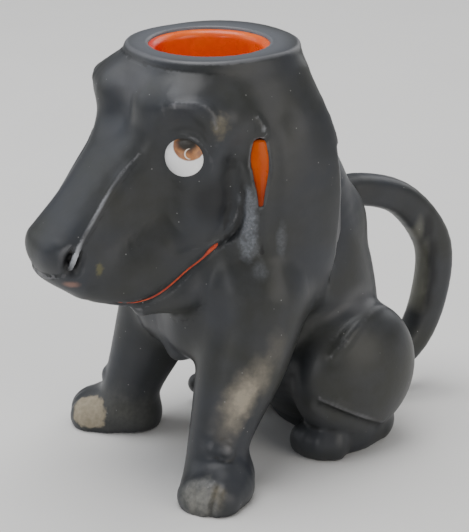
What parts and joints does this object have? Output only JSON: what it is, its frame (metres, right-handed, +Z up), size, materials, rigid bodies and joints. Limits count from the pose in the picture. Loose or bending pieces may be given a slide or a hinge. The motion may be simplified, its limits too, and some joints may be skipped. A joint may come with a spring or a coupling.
{
  "type": "figural candlestick",
  "caption": "Glazed earthenware chamber candlestick shaped as a seated long-eared hound, with the candle socket in the crown of the head and a loop handle at the back.",
  "frame": {"origin": "middle of the bounding box at table level, under the head", "axes": "+Z up along the candle, the hound faces -Y, its left side is +X, the handle is at +Y"},
  "size_m": [0.066, 0.1125, 0.096],
  "materials": {
    "charcoal_glaze": "satin",
    "orange_glaze": "gloss",
    "eye_enamel": "gloss"
  },
  "bodies": {
    "root": {"body_casting": "charcoal_glaze", "head_casting": "charcoal_glaze", "lower_jaw": "charcoal_glaze", "candle_socket": "orange_glaze", "handle": "charcoal_glaze", "left_ear": "charcoal_glaze", "right_ear": "charcoal_glaze", "left_foreleg": "charcoal_glaze", "right_foreleg": "charcoal_glaze", "left_forepaw": "charcoal_glaze", "right_forepaw": "charcoal_glaze", "left_haunch": "charcoal_glaze", "right_haunch": "charcoal_glaze", "left_hind_paw": "charcoal_glaze", "right_hind_paw": "charcoal_glaze", "left_eye": "eye_enamel", "right_eye": "eye_enamel"}
  },
  "joints": []
}
